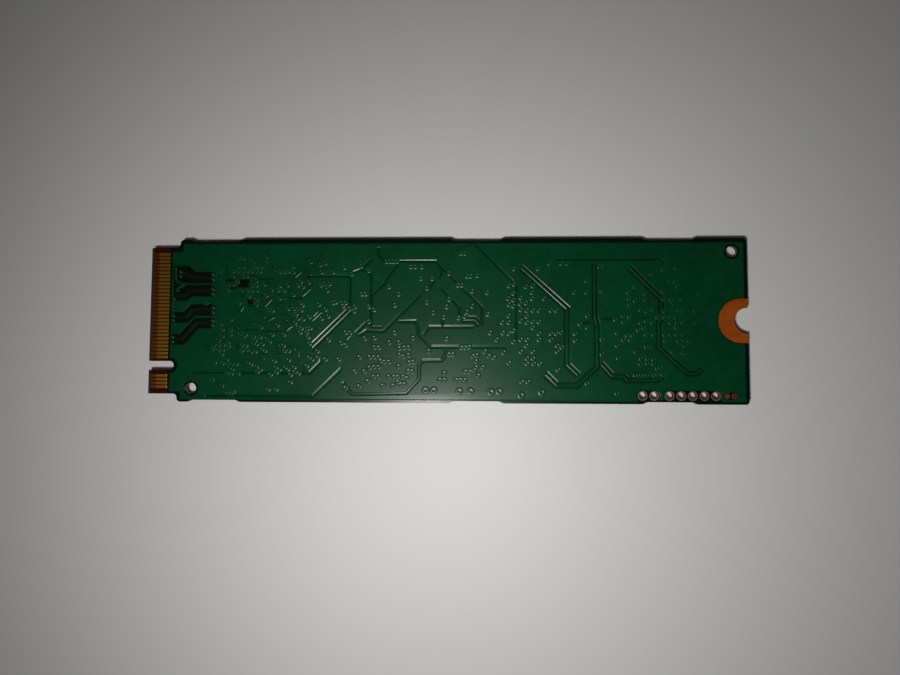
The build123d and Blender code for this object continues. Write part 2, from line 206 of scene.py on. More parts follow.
def mask_skin(name, node, shaded_lane_ink=None):
    """Ink over a copper node: its upper face drawn in from its edge, and slopes that end outside the edge.

    The crest lies as far inside the edge as the copper's width there allows, and the ink's height follows
    from that, as the ink levels out. Where the darker lane ink, with its painted shade, is given, it covers
    the faces on the lanes.
    """
    low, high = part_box(node)
    flat_top = bmesh.new()
    flat_top.from_mesh(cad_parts[node].data)
    bmesh.ops.remove_doubles(flat_top, verts=flat_top.verts, dist=weld_distance * mm)
    flat_top.normal_update()
    walls = BVHTree.FromBMesh(flat_top)
    below = high.z - weld_distance * mm
    others = [face for face in flat_top.faces if min(corner.co.z for corner in face.verts) < below]
    bmesh.ops.delete(flat_top, geom=others, context="FACES")
    corners = list(flat_top.verts)
    number = {corner: place for place, corner in enumerate(corners)}
    sideways = {corner: [] for corner in corners}
    edges = []
    for edge in flat_top.edges:
        if edge.is_boundary:
            loop = edge.link_loops[0]
            start, end = loop.vert, loop.link_loop_next.vert
            along = (end.co - start.co).normalized()
            edges.append((number[start], number[end]))
            for corner in (start, end):
                sideways[corner].append(Vector((along.y, -along.x, 0)))
    crests = []
    mitres = []
    middle = Vector((0, 0, (low.z - high.z) / 2))
    for corner in corners:
        mean = sum(sideways[corner], Vector()) / len(sideways[corner])
        inward = -mean.normalized()
        across = walls.ray_cast(corner.co + middle + weld_distance * mm * inward, inward)[3]
        crests.append(min(slope_crest * mm, slope_share * (across or 1.0)))
        mitres.append(mean / max(mean.length_squared, sharpest_mitre))
    points = []
    for step in range(slope_steps + 1):
        share = step / slope_steps
        for corner, crest, mitre in zip(corners, crests, mitres):
            run = crest + slope_foot * mm
            shifted = corner.co + (slope_foot * mm - share * run) * mitre
            points.append((shifted.x, shifted.y, low.z + slope_grade * run * ease(share)))
    faces = []
    for step in range(slope_steps):
        outer = step * len(corners)
        inner = outer + len(corners)
        faces += [(outer + a, outer + b, inner + b, inner + a) for a, b in edges]
    crest_ring = slope_steps * len(corners)
    faces += [[crest_ring + number[corner] for corner in face.verts] for face in flat_top.faces]
    flat_top.free()
    piece = new_piece(name, points, faces, mask)
    piece.data.materials.append(edge_mask)
    if shaded_lane_ink:
        piece.data.materials.append(shaded_lane_ink)
    piece.data.shade_flat()
    for face in piece.data.polygons:
        face.material_index = 1 if min(face.vertices) < crest_ring else 0
        if shaded_lane_ink and face.center.x < lane_end_x * mm:
            face.material_index = 2
    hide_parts(node)


def ink(name, dark, light, roughness, specular):
    """Solder mask: faint clouds and grain from the screen print, a wet gloss and a fine ripple."""
    material = empty_material(name)
    place = add(material, "ShaderNodeTexCoord").outputs["Object"]
    sizes = (ink_cloud, ink_grain, ink_ripple)
    cloud, grain, ripple = [
        add(material, "ShaderNodeTexNoise", {"Vector": place, "Scale": 1 / (size * mm), "Detail": 2.0})
        for size in sizes
    ]
    blend = add(material, "ShaderNodeMath", {
        0: cloud.outputs["Fac"], 1: grain.outputs["Fac"],
    }, operation="ADD")
    tone = add(material, "ShaderNodeMapRange", {"Value": blend.outputs[0], "From Min": 0.7, "From Max": 1.3})
    colour = add(material, "ShaderNodeMix", {
        0: tone.outputs[0], 6: linear(dark), 7: linear(light),
    }, data_type="RGBA")
    relief = add(material, "ShaderNodeBump", {
        "Height": ripple.outputs["Fac"], "Strength": 1.0, "Distance": ink_ripple_height * mm,
    })
    shader = add(material, "ShaderNodeBsdfPrincipled", {
        "Base Color": colour.outputs[2], "Roughness": roughness, "IOR": 1.52, "Specular IOR Level": specular,
        "Normal": relief.outputs["Normal"],
    })
    add(material, "ShaderNodeOutputMaterial", {"Surface": shader.outputs["BSDF"]})
    return material


# Green solder mask on copper: clear ink over metal, so brighter than on bare laminate. Its fillers give it a
# satin gloss, which is broad and weak.
mask = ink("satin_green_solder_mask_on_copper", "02331B", "033D23", 0.28, 0.125)
# The same ink where it runs off the copper's edges: dull, with a soft glint on the side towards the light.
edge_mask = ink("green_solder_mask_on_copper_edges", "02331B", "033D23", 0.22, 0.1)
# The same ink on the narrow lane pairs: hardly any copper shows through, so they look dim and brownish. The
# colour is also darkened with painted shade, as their narrow slopes leave no flat top to catch the light.
shaded_lane_mask = ink("solder_mask_on_narrow_traces_with_painted_shade", "11150F", "1B1D16", 0.25, 0.1)
mask_skin("rear_pour_mask", "rear_pour")
mask_skin("rear_trace_mask", "rear_traces", shaded_lane_mask)

# Vias, short traces and gaps
# Plated holes that tie the layers together, closed by the mask: each stands as a low ring with a dimple.
# Short lengths of trace between them show as low ridges in dark channels, and narrow gaps in the copper as
# dark marks. Places are in millimetres from the board's middle.
half_turn_points = 7
via_foot = 0.42
via_crest = 0.26
via_pit = 0.02
via_height = 0.03
via_pit_height = 0.0
via_steps = 4
ridge_channel = 0.23
ridge_foot = 0.17
ridge_crest = 0.02
ridge_height = 0.032
ridge_steps = 5
gap_reach = 0.1
gap_height = 0.002
# Lower than the other gaps, so that the strip by the header holes stays under the tops of the pads
header_gap_height = 0.001
large_via_scale = 1.3
lane_via_scale = 0.65
lane_via_clearance_scale = 3.8
wide_gap_scale = 2.0
header_gap_scale = 1.5
lane_vias = [
    (-36.6, 7.0), (-35.9, 6.6), (-35.9, 6.0), (-36.3, 4.1), (-36.8, 2.9), (-36.8, 0.6), (-36.8, 0.0),
    (-36.8, -2.3), (-36.8, -2.9), (-31.4, 6.2), (-31.4, 5.6), (-31.4, 4.2), (-31.4, 3.6), (-31.3, 1.7),
    (-31.3, 1.1), (-31.3, -0.1), (-31.3, -0.7),
]
wide_lane_gaps = [
    ((-36.2, 7.2), (-34.75, 7.2)), ((-34.6, 7.1), (-34.15, 6.75)), ((-36.2, 6.9), (-36.2, 5.3)),
    ((-35.6, 5.35), (-34.6, 5.2)), ((-35.7, 5.6), (-35.0, 5.55)),
]
lane_gaps = [
    ((-36.8, 6.8), (-36.8, 5.6)), ((-34.6, 5.1), (-31.6, 5.1)), ((-34.8, 4.7), (-31.6, 4.7)),
    ((-33.6, 0.7), (-31.6, 0.7)), ((-35.6, 4.2), (-34.9, 4.65)), ((-35.5, 4.1), (-34.8, 4.7)),
]
header_gaps = [((25.6, -10.56), (36.3, -10.56))]
connector_vias = [
    (-32.3, 2.4), (-30.5, 6.8), (-35.1, -9.2),
]
corner_vias = [
    (-28.0, 8.5), (-27.4, 8.5), (-26.4, 8.4), (-26.1, 7.9), (-24.2, 8.7), (-24.2, 8.0), (-28.0, 7.3),
    (-27.4, 7.4), (-26.1, 7.4), (-25.5, 7.3), (-24.9, 7.3), (-28.8, 6.7), (-28.1, 6.7), (-27.4, 6.7),
    (-26.8, 6.7), (-26.2, 6.7), (-25.5, 6.7), (-25.0, 6.7), (-28.7, 6.0), (-27.4, 6.0), (-26.8, 6.0),
]
controller_vias = [
    (-22.3, 6.6), (-21.7, 6.6), (-21.1, 6.7), (-20.4, 6.6), (-20.6, 7.4), (-29.3, 4.9), (-28.7, 4.9),
    (-28.1, 5.3), (-26.1, 4.8), (-25.5, 5.4), (-25.5, 4.8), (-24.4, 4.9), (-22.3, 4.7), (-21.2, 4.8),
    (-29.3, 4.1), (-27.5, 4.1), (-26.7, 4.1), (-26.1, 4.1), (-25.4, 4.1), (-23.4, 4.2), (-22.5, 4.1),
    (-21.7, 4.1), (-24.1, 3.4), (-26.5, 3.3), (-22.3, 3.0), (-20.4, 3.5), (-27.8, 2.4), (-25.4, 2.8),
    (-25.4, 2.2), (-23.7, 1.5), (-23.2, 1.4), (-21.1, 1.6), (-20.3, 1.6), (-20.1, 0.9), (-22.5, -0.6),
    (-24.7, -0.9), (-20.1, -0.3), (-28.9, 0.1), (-30.3, -0.5), (-30.0, -1.2), (-28.9, -1.3),
    (-28.9, -1.9), (-27.6, -1.8), (-27.1, -2.1), (-26.8, -1.9), (-25.7, -2.2), (-25.5, -2.7),
    (-24.8, -2.2), (-23.9, -2.5), (-23.5, -2.8), (-23.2, -1.9), (-21.6, -1.9), (-30.5, -2.7),
    (-30.0, -2.1), (-31.2, -3.4), (-30.5, -3.4), (-29.8, -3.3), (-31.3, -3.9), (-30.5, -4.0),
    (-29.9, -4.0), (-30.0, -4.6), (-29.2, -3.0), (-29.1, -3.5), (-25.7, -3.1), (-25.3, -3.2),
    (-24.5, -3.2), (-27.3, -3.4), (-26.7, -3.4), (-27.3, -4.1), (-26.6, -4.0), (-26.0, -4.2),
    (-25.4, -4.2), (-24.5, -3.9), (-24.1, -4.1), (-22.8, -5.5), (-21.6, -3.4), (-21.5, -4.1),
    (-20.9, -4.1), (-20.9, -5.3), (-29.3, -5.3), (-30.9, -5.7), (-29.9, -5.8), (-29.2, -5.9),
    (-28.6, -5.9), (-28.0, -5.9), (-28.9, -6.4), (-28.5, -6.6), (-26.4, -5.7), (-26.0, -5.9),
    (-25.2, -6.2), (-24.7, -6.6), (-25.1, -6.9), (-22.6, -6.3), (-22.1, -6.6), (-22.5, -7.0),
    (-21.3, -6.3), (-21.0, -6.6), (-20.1, -6.3), (-20.0, -6.9), (-29.2, -7.1), (-28.6, -7.2),
    (-27.7, -7.2), (-23.3, -7.3), (-20.6, -7.3), (-20.6, -8.3), (-31.2, -8.0), (-29.9, -8.8),
    (-29.1, -9.8), (-28.6, -9.8), (-28.3, -9.6), (-23.6, -9.3), (-22.5, -9.3),
]
beside_controller_vias = [
    (-18.3, 5.2), (-19.8, 4.8), (-19.1, 4.6), (-19.4, 5.3), (-18.1, 8.0), (-16.8, 7.6), (-16.6, 6.6),
    (-16.1, 7.8), (-15.0, 6.6), (-13.5, 7.2), (-12.5, 6.3), (-11.3, 7.9), (-11.2, 7.4), (-10.2, 6.8),
    (-16.2, 5.0), (-15.9, 4.6), (-15.5, 5.0), (-16.7, 4.8), (-15.8, 4.1), (-15.0, 2.4), (-14.6, 2.5),
    (-13.8, 2.4), (-13.3, 2.4), (-13.6, 2.0), (-12.7, 1.6), (-12.0, 1.9), (-12.1, 1.3), (-16.0, 1.5),
    (-16.9, 2.2), (-16.5, 0.3), (-15.6, 0.6), (-18.2, 0.5), (-19.4, 2.4), (-19.1, 2.1), (-19.8, 1.6),
    (-19.3, 1.4), (-19.9, 0.9), (-19.7, 0.3), (-19.0, 0.2), (-19.7, -0.9), (-19.2, -1.0), (-18.4, -1.1),
    (-18.0, -1.0), (-19.4, -1.6), (-18.5, -1.6), (-18.3, -2.2), (-18.1, -3.1), (-15.5, -2.6),
    (-17.0, -4.1), (-18.1, -5.0), (-16.9, -5.0), (-15.9, -5.2), (-17.7, -5.2), (-18.4, -6.1),
    (-19.5, -7.1), (-13.2, -1.6), (-12.6, -1.6), (-13.8, -3.0), (-13.2, -3.3), (-14.1, -5.2),
    (-11.3, -4.9),
]
middle_vias = [
    (-11.1, 3.6), (-10.6, 3.6), (-10.1, 1.9), (-9.4, 1.5), (-10.1, -0.1), (-7.4, 4.6), (-6.1, 3.6),
    (-6.6, 2.1), (-2.3, 4.4), (-2.3, 2.5), (-1.4, 1.1), (-3.1, 5.7), (-1.6, 5.7), (-4.5, 7.3), (-3.9, 7.3),
    (-3.0, 7.3), (-7.8, 8.0), (-7.3, 8.0), (-6.9, 8.0), (-6.4, 8.0), (-6.6, -1.6), (-9.3, -2.3),
    (-10.6, -2.4), (-7.3, -2.9), (-6.0, -2.9), (-4.1, -2.3), (-2.0, -4.1), (0.7, 6.4), (3.1, 6.0),
    (3.6, 6.0), (4.5, 6.1), (1.9, 4.8), (2.4, 4.8), (3.8, 4.0), (5.8, 3.8), (5.9, 0.9), (0.7, 2.9),
    (0.4, 1.9), (3.8, 2.0), (3.1, 1.2), (2.0, 0.4), (2.8, 0.6), (0.0, 0.5), (2.3, 9.1), (2.8, 9.1),
    (6.2, -1.6), (7.1, -2.5), (7.8, -0.2), (7.9, -1.6), (0.4, -2.4), (2.4, -3.6), (2.9, -3.6), (3.4, -3.5),
    (0.7, -4.5), (1.2, -4.5), (3.9, -4.7), (4.4, -4.6), (4.3, -5.4), (5.5, -4.1), (6.0, -4.7), (6.7, -4.9),
    (8.0, -4.2), (8.7, -5.6), (4.3, -6.2), (5.2, -6.2), (4.1, -6.6), (2.9, -6.8), (3.5, -6.8), (4.6, -7.3),
    (-0.5, -7.9), (0.1, -7.9), (1.7, -7.9), (2.2, -7.9), (2.8, -7.9), (0.1, -7.0), (10.4, -8.1),
    (11.2, -8.1),
]
memory_vias = [
    (-9.3, -3.6), (-8.7, -3.6), (-9.9, -4.9), (-9.3, -4.9), (-8.7, -4.9), (-8.4, -5.4), (-7.9, -5.5),
    (-7.3, -5.5), (-9.9, -6.3), (-9.3, -6.2), (-8.7, -6.2), (-11.9, -6.8), (-10.6, -6.8), (-9.3, -7.5),
    (-8.7, -7.5), (-7.3, -7.5), (-6.6, -7.5), (-6.1, -7.5), (-5.4, -7.5), (-4.9, -7.7), (-6.1, -8.2),
    (-5.7, -8.5), (-5.2, -8.5), (-6.7, -8.7), (-8.1, -8.7), (-10.1, -8.1), (-11.3, -8.8), (-13.1, -9.0),
    (-5.3, -3.6), (-4.7, -3.6), (-5.9, -3.7), (-5.4, -4.8), (-4.7, -4.6), (-5.9, -4.6), (-4.1, -5.5),
    (-4.6, -5.6), (-6.0, -6.1), (-4.7, -6.7), (-4.2, -6.8),
]
first_flash_vias = [
    (8.7, 4.7), (9.4, 4.9), (9.3, 3.7), (8.6, 3.0), (8.7, 2.2), (9.3, 2.8), (9.3, 2.0), (8.7, 0.7),
    (8.7, -0.2), (8.7, -1.7), (9.3, -1.3), (9.3, -2.8), (11.0, 4.6), (11.9, 4.7), (11.8, 3.8), (10.3, 3.1),
    (10.2, 2.3), (10.3, 1.5), (11.0, 2.4), (11.8, 3.0), (11.1, 1.4), (11.9, 1.4), (12.7, 1.4), (11.1, 0.6),
    (10.3, 0.0), (11.1, -0.2), (11.9, -0.1), (12.7, -0.1), (11.9, -0.9), (13.4, 3.0), (14.3, 1.4),
    (15.0, 1.4), (12.7, -1.7), (12.7, -2.5), (10.3, -2.5), (11.1, -2.5), (11.0, -3.3), (10.3, -4.1),
    (11.9, -4.1), (11.9, -5.0), (11.1, -5.0), (12.0, -5.7), (11.1, -5.7), (12.8, -5.7), (14.3, -1.7),
    (15.0, -1.7), (15.6, -1.5), (14.3, -2.5), (15.1, -3.3), (15.7, -3.5), (15.1, -4.1), (15.2, -6.5),
    (9.4, 7.0), (12.6, 7.0), (14.1, 7.7), (15.7, 7.7), (16.5, 7.7),
]
second_flash_vias = [
    (17.4, 3.8), (19.0, 5.4), (19.0, 3.8), (21.0, 4.0), (20.7, 7.3), (21.2, 7.4), (19.1, 0.7), (18.1, -0.4),
    (19.1, -0.9), (17.5, -1.7), (17.5, -2.6), (21.0, -2.4), (21.0, -4.4), (22.8, 0.2), (23.8, 0.7),
    (24.6, 0.6), (23.8, -0.1), (23.0, -1.6), (23.8, -2.5), (24.7, -2.5), (24.3, -1.9), (25.0, -1.9),
    (25.8, -1.2), (23.0, -3.3), (23.1, -4.9), (26.5, -0.9), (24.5, 3.8), (24.6, 3.0), (24.6, 2.2),
    (25.4, 2.7), (25.4, 4.6), (26.7, 3.7), (26.8, 2.9), (26.1, 1.5), (26.9, 1.3), (27.7, 1.5), (28.3, 0.5),
    (26.1, -0.2), (26.8, 0.0), (27.6, -0.2), (26.8, -1.8), (27.7, -1.8), (27.4, -3.4), (26.8, -3.4),
    (25.4, -4.1), (26.1, -5.0), (26.9, -5.0), (26.5, -4.7), (26.0, -5.7), (26.9, -5.6), (27.7, -5.1),
    (27.7, -5.7), (28.2, -6.3), (28.6, -6.1), (25.3, -7.2), (25.7, -7.2), (26.1, -7.2), (26.5, -7.2),
    (26.9, -7.2), (27.8, -7.2), (28.2, -7.0), (28.9, -7.1), (27.6, 6.3), (29.1, 7.0), (30.8, 7.0),
    (30.0, 5.4), (30.7, 5.3), (31.0, 4.6), (30.1, 2.9), (30.7, 2.9), (31.5, 2.9), (29.2, 2.9), (30.4, 2.4),
    (29.1, 4.0), (31.1, 1.5), (31.6, 1.4), (33.2, 1.4), (29.2, 1.3), (30.0, 0.6), (30.7, 0.5), (29.2, 0.5),
    (31.2, 0.8), (30.9, -0.2), (31.6, -0.2), (30.0, -0.2), (33.3, -0.2), (30.8, -0.8), (29.2, -1.8),
    (30.0, -1.8), (30.8, -1.8), (31.6, -1.8), (29.3, -2.6), (31.0, -2.6), (31.7, -2.5), (32.4, -2.6),
    (31.8, -3.3), (31.6, -4.2), (32.0, -4.3), (30.2, -4.1), (33.8, 3.7), (22.9, -9.6), (19.0, -8.3),
]
large_vias = [
    (-2.4, -9.3), (-1.3, -9.3), (2.1, -9.4), (3.6, -9.4), (6.3, -9.5), (7.4, -9.4), (13.0, -9.5),
    (10.3, -9.9),
]
short_traces = [
    ((-20.1, 5.9), (-19.4, 6.5)), ((-18.9, 3.5), (-18.1, 4.2)), ((-24.2, 1.9), (-23.3, 2.8)),
    ((-23.8, -0.1), (-22.9, 0.4)), ((-21.2, -1.4), (-20.5, -0.8)), ((-17.7, 0.0), (-16.5, 1.1)),
    ((-17.6, 0.6), (-17.0, 1.2)), ((-13.0, -2.5), (-12.5, -2.0)), ((-27.5, 1.2), (-27.1, 1.9)),
    ((-21.9, 3.6), (-21.5, 2.9)), ((-24.8, -4.5), (-24.2, -5.2)), ((-19.5, -3.9), (-19.5, -4.8)),
    ((-23.4, 7.1), (-22.9, 6.7)), ((-18.8, 7.1), (-18.0, 6.2)), ((-26.8, 0.6), (-25.6, -0.5)),
    ((-24.9, 1.1), (-24.2, 0.4)), ((-21.9, 0.7), (-21.2, 0.0)), ((-17.5, -0.2), (-16.7, -1.0)),
    ((-23.1, -2.8), (-22.2, -3.4)), ((-28.5, -0.4), (-27.8, -1.1)), ((-32.0, -3.3), (-31.4, -3.8)),
    ((-20.9, 4.2), (-20.3, 3.4)), ((-20.8, 7.8), (-20.2, 7.1)), ((-20.6, -3.2), (-20.0, -3.9)),
    ((-24.0, 7.7), (-23.1, 6.8)), ((-19.1, 3.3), (-18.4, 3.9)), ((-19.5, -1.2), (-19.1, -1.7)),
    ((-27.2, 3.8), (-26.5, 3.1)), ((-25.8, 4.5), (-25.4, 4.0)), ((-36.2, 4.3), (-35.5, 4.8)),
    ((-35.6, 4.95), (-36.3, 5.25)), ((-36.3, 5.25), (-36.5, 5.6)), ((-36.5, 5.6), (-36.55, 7.0)),
]
copper_gaps = [
    ((-28.6, 7.1), (-28.5, 7.1)), ((-27.4, 6.4), (-27.0, 6.4)), ((-26.0, 7.1), (-25.3, 7.1)),
    ((-26.0, 7.8), (-26.0, 7.5)), ((-25.2, 5.6), (-23.1, 5.6)), ((-26.5, 1.9), (-25.0, 1.9)),
    ((-26.8, -1.3), (-25.1, -1.3)), ((-24.4, -1.5), (-21.7, -1.5)), ((-24.4, -4.5), (-23.7, -4.5)),
    ((-22.3, -4.5), (-21.2, -4.5)), ((-21.0, 3.0), (-19.2, 3.0)), ((-20.9, 1.9), (-20.9, 1.9)),
    ((-20.5, 1.3), (-20.5, 1.6)), ((-20.1, 1.9), (-20.0, 1.9)), ((-21.3, 0.8), (-20.9, 0.6)),
    ((-20.4, 0.9), (-20.2, 0.8)), ((-19.7, 0.9), (-19.2, 0.9)), ((-20.6, 0.2), (-20.6, -0.3)),
    ((-20.2, 0.4), (-19.9, 0.5)), ((-21.0, -0.4), (-21.3, -0.2)), ((-19.5, 0.5), (-19.3, 0.5)),
    ((-25.3, 4.2), (-25.1, 4.0)), ((-23.3, 4.4), (-22.9, 4.2)), ((-24.1, 5.2), (-23.6, 5.0)),
    ((-22.8, 4.6), (-22.4, 4.5)), ((-24.8, 3.4), (-24.5, 3.2)), ((-23.9, 3.5), (-23.8, 3.3)),
    ((-22.4, 3.6), (-22.3, 3.5)), ((-27.5, 3.3), (-27.3, 3.2)), ((-27.8, -3.2), (-27.8, -3.8)),
    ((-27.7, -4.0), (-27.4, -4.3)), ((-27.0, -4.4), (-26.2, -4.4)), ((-25.6, 1.0), (-25.6, 0.9)),
    ((-21.4, -3.6), (-20.7, -3.6)), ((-26.6, 6.0), (-25.5, 6.1)), ((-29.6, 7.4), (-29.6, 6.2)),
    ((-23.7, -2.2), (-23.3, -2.3)), ((-25.5, -2.3), (-25.3, -2.4)), ((-22.2, 2.5), (-21.9, 2.2)),
]
ink_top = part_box("rear_pour")[0].z + ink_height * mm


def eased(outer, inner, steps):
    """Rings of a profile from one reach and height to another, easing at both ends."""
    rings = []
    for step in range(1, steps + 1):
        share = step / steps
        reach = outer[0] + share * (inner[0] - outer[0])
        rings.append((reach, outer[1] + ease(share) * (inner[1] - outer[1]), False))
    return rings


def mounds(name, lines, profile, bare_ink, scale=1.0):
    """Piece of low mounds, each a stack of round-ended rings about a short line, standing on the board.

    Each ring of the profile has a reach, a height and whether the ink from there inwards lies on laminate.
    """
    points = []
    faces = []
    slots = []
    ring_size = 2 * half_turn_points
    rings = [(profile[0][0], -ink_height, profile[0][2])] + profile
    for start, end in lines:
        heading = atan2(end[1] - start[1], end[0] - start[0])
        first = len(points)
        for reach, height, _ in rings:
            for place in range(ring_size):
                angle = heading + pi * ((place + 0.5) / half_turn_points - 0.5)
                centre = end if place < half_turn_points else start
                x = centre[0] + scale * reach * cos(angle)
                y = centre[1] + scale * reach * sin(angle)
                points.append((x * mm, y * mm, ink_top + height * mm))
        for ring in range(len(rings) - 1):
            low = first + ring * ring_size
            for place in range(ring_size):
                after = (place + 1) % ring_size
                faces.append((low + place, low + after, low + ring_size + after, low + ring_size + place))
                slots.append(rings[ring][2])
        faces.append(range(len(points) - ring_size, len(points)))
        slots.append(rings[-1][2])
    piece = new_piece(name, points, faces, via_mask)
    piece.data.materials.append(bare_ink)
    piece.data.polygons.foreach_set("material_index", slots)
    piece.data.polygons.foreach_set("use_smooth", [not bare for bare in slots])


# The same ink drawn thin over the rings: a broader sheen, so that each ring catches the light as a soft dot.
via_mask = ink("green_solder_mask_on_via_rings", "02331B", "033D23", 0.3, 0.17)
# The same ink in gaps too narrow to show the bare laminate clearly: darker than on copper, and dull.
gap_mask = ink("green_solder_mask_in_narrow_gaps", "021C0F", "022514", 0.3, 0.1)
# The same ink where the copper is etched away beside the lanes and the header holes: nearly black.
bare_mask = ink("green_solder_mask_on_bare_laminate", "020E08", "03120A", 0.3, 0.1)
via_profile = [(via_foot, 0.0, False)]
via_profile += eased((via_foot, 0.0), (via_crest, via_height), via_steps)
via_profile += eased((via_crest, via_height), (via_pit, via_pit_height), via_steps)
ridge_profile = [(ridge_channel, gap_height, True), (ridge_foot, gap_height, False)]
ridge_profile += eased((ridge_foot, gap_height), (ridge_crest, ridge_height), ridge_steps)
gap_profile = [(gap_reach, gap_height, True)]
header_gap_profile = [(gap_reach, header_gap_height, True)]
small_vias = connector_vias + corner_vias + controller_vias + beside_controller_vias + middle_vias
small_vias += memory_vias + first_flash_vias + second_flash_vias
lane_via_lines = [(via, via) for via in lane_vias]
mounds("copper_gaps", copper_gaps, gap_profile, gap_mask)
mounds("lane_gaps", lane_gaps, gap_profile, bare_mask)
mounds("wide_lane_gaps", wide_lane_gaps, gap_profile, bare_mask, wide_gap_scale)
mounds("header_gaps", header_gaps, header_gap_profile, bare_mask, header_gap_scale)
mounds("lane_via_clearances", lane_via_lines, gap_profile, bare_mask, lane_via_clearance_scale)
mounds("lane_vias", lane_via_lines, via_profile, gap_mask, lane_via_scale)
mounds("short_traces", short_traces, ridge_profile, gap_mask)
mounds("vias", [(via, via) for via in small_vias], via_profile, gap_mask)
mounds("large_vias", [(via, via) for via in large_vias], via_profile, gap_mask, large_via_scale)

# Edge contacts
# Copper fingers plated with hard gold on both faces of the tongue. The outer part is rubbed by the
# socket's springs, so it is duller and browner than the inner part.
finger_edge = 0.012
rubbed_end_x = -38.7
rub_blur = 0.25
rub_streak = 0.06
edge_segments = 2


def soften(width, *names):
    """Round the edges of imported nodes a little; their faces are welded first, so that edges are shared."""
    for name in names:
        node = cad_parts[name]
        weld = node.modifiers.new("weld", "WELD")
        weld.merge_threshold = weld_distance * mm
        bevel = node.modifiers.new("bevel", "BEVEL")
        bevel.width = width * mm
        bevel.segments = edge_segments
        bevel.limit_method = "ANGLE"


# Hard gold plating on copper: a warm metal with a satin gloss and fine rub marks along the fingers.
gold = empty_material("worn_hard_gold_plating")
place = add(gold, "ShaderNodeTexCoord").outputs["Object"]
axes = add(gold, "ShaderNodeSeparateXYZ", {"Vector": place})
stretched = add(gold, "ShaderNodeMapping", {"Vector": place, "Scale": (0.1, 1.0, 1.0)})
streaks = add(gold, "ShaderNodeTexNoise", {
    "Vector": stretched.outputs[0], "Scale": 1 / (rub_streak * mm), "Detail": 2.0,
})
rubbed = add(gold, "ShaderNodeMapRange", {
    "Value": axes.outputs["X"],
    "From Min": (rubbed_end_x - rub_blur) * mm,
    "From Max": (rubbed_end_x + rub_blur) * mm,
    "To Min": 1.0,
    "To Max": 0.0,
})
wear = add(gold, "ShaderNodeMath", {0: rubbed.outputs[0], 1: streaks.outputs["Fac"]}, operation="MULTIPLY")
colour = add(gold, "ShaderNodeMix", {
    0: rubbed.outputs[0], 6: linear("DFA842"), 7: linear("7C4A1A"),
}, data_type="RGBA")
gloss = add(gold, "ShaderNodeMapRange", {"Value": wear.outputs[0], "To Min": 0.32, "To Max": 0.55})
shader = add(gold, "ShaderNodeBsdfPrincipled", {
    "Base Color": colour.outputs[2], "Metallic": 1.0, "Roughness": gloss.outputs[0],
})
add(gold, "ShaderNodeOutputMaterial", {"Surface": shader.outputs["BSDF"]})
dress(gold, "rear_contacts", "front_contacts")
soften(finger_edge, "rear_contacts", "front_contacts")

# Screw land
# Bare copper round the half-round notch, plated through its wall, which the fixing screw clamps. It is
# etched with the rest of the copper and left free of mask.
land_ring_pitch = 0.12
land_ring_height = 0.002
land_stain = 1.6

# Bare copper with a protective finish: orange, satin and a little blotchy, with faint rings from the drill
# and the screw head about the middle of the notch.
copper = empty_material("bare_copper_with_protective_finish")
place = add(copper, "ShaderNodeTexCoord").outputs["Object"]
from_notch = add(copper, "ShaderNodeVectorMath", {
    0: place, 1: (cad_box[1].x, 0.0, 0.0),
}, operation="SUBTRACT")
radius = add(copper, "ShaderNodeVectorMath", {0: from_notch.outputs[0]}, operation="LENGTH")
turned = add(copper, "ShaderNodeTexNoise", {
    "W": radius.outputs["Value"], "Scale": 1 / (land_ring_pitch * mm), "Detail": 2.0,
}, noise_dimensions="1D")
stain = add(copper, "ShaderNodeTexNoise", {"Vector": place, "Scale": 1 / (land_stain * mm), "Detail": 4.0})
tone = add(copper, "ShaderNodeMapRange", {"Value": stain.outputs["Fac"], "From Min": 0.35, "From Max": 0.65})
colour = add(copper, "ShaderNodeMix", {
    0: tone.outputs[0], 6: linear("B2520C"), 7: linear("C06014"),
}, data_type="RGBA")
gloss = add(copper, "ShaderNodeMapRange", {
    "Value": turned.outputs["Fac"], "From Min": 0.3, "From Max": 0.7, "To Min": 0.42, "To Max": 0.56,
})
relief = add(copper, "ShaderNodeBump", {
    "Height": turned.outputs["Fac"], "Strength": 0.4, "Distance": land_ring_height * mm,
})
shader = add(copper, "ShaderNodeBsdfPrincipled", {
    "Base Color": colour.outputs[2], "Metallic": 0.8, "Roughness": gloss.outputs[0],
    "Normal": relief.outputs["Normal"],
})
add(copper, "ShaderNodeOutputMaterial", {"Surface": shader.outputs["BSDF"]})
dress(copper, "screw_land")

# Header holes and test pads
# Plated holes for a programming header that is not fitted, and two round pads beside them, the outer one
# about a hole plugged with ink. Their copper was left bare after the last soldering heat, so it has turned.
tarnish_spot = 0.4
plug_radius = 0.12
plug_blur = 0.1

# Heat-tarnished copper: pale and pinkish on the rings, dark red inside the holes.
tarnish = empty_material("heat_tarnished_copper")
place = add(tarnish, "ShaderNodeTexCoord").outputs["Object"]
surface = add(tarnish, "ShaderNodeNewGeometry")
facing = add(tarnish, "ShaderNodeSeparateXYZ", {"Vector": surface.outputs["True Normal"]})
upright = add(tarnish, "ShaderNodeMath", {0: facing.outputs["Z"]}, operation="ABSOLUTE")
level = add(tarnish, "ShaderNodeMapRange", {"Value": upright.outputs[0], "From Min": 0.3, "From Max": 0.8})
stain = add(tarnish, "ShaderNodeTexNoise", {"Vector": place, "Scale": 1 / (tarnish_spot * mm), "Detail": 3.0})
rim = add(tarnish, "ShaderNodeMix", {
    0: stain.outputs["Fac"], 6: linear("5E4A3C"), 7: linear("7A6452"),
}, data_type="RGBA")
colour = add(tarnish, "ShaderNodeMix", {
    0: level.outputs[0], 6: linear("B03C28"), 7: rim.outputs[2],
}, data_type="RGBA")
gloss = add(tarnish, "ShaderNodeMapRange", {"Value": stain.outputs["Fac"], "To Min": 0.3, "To Max": 0.6})
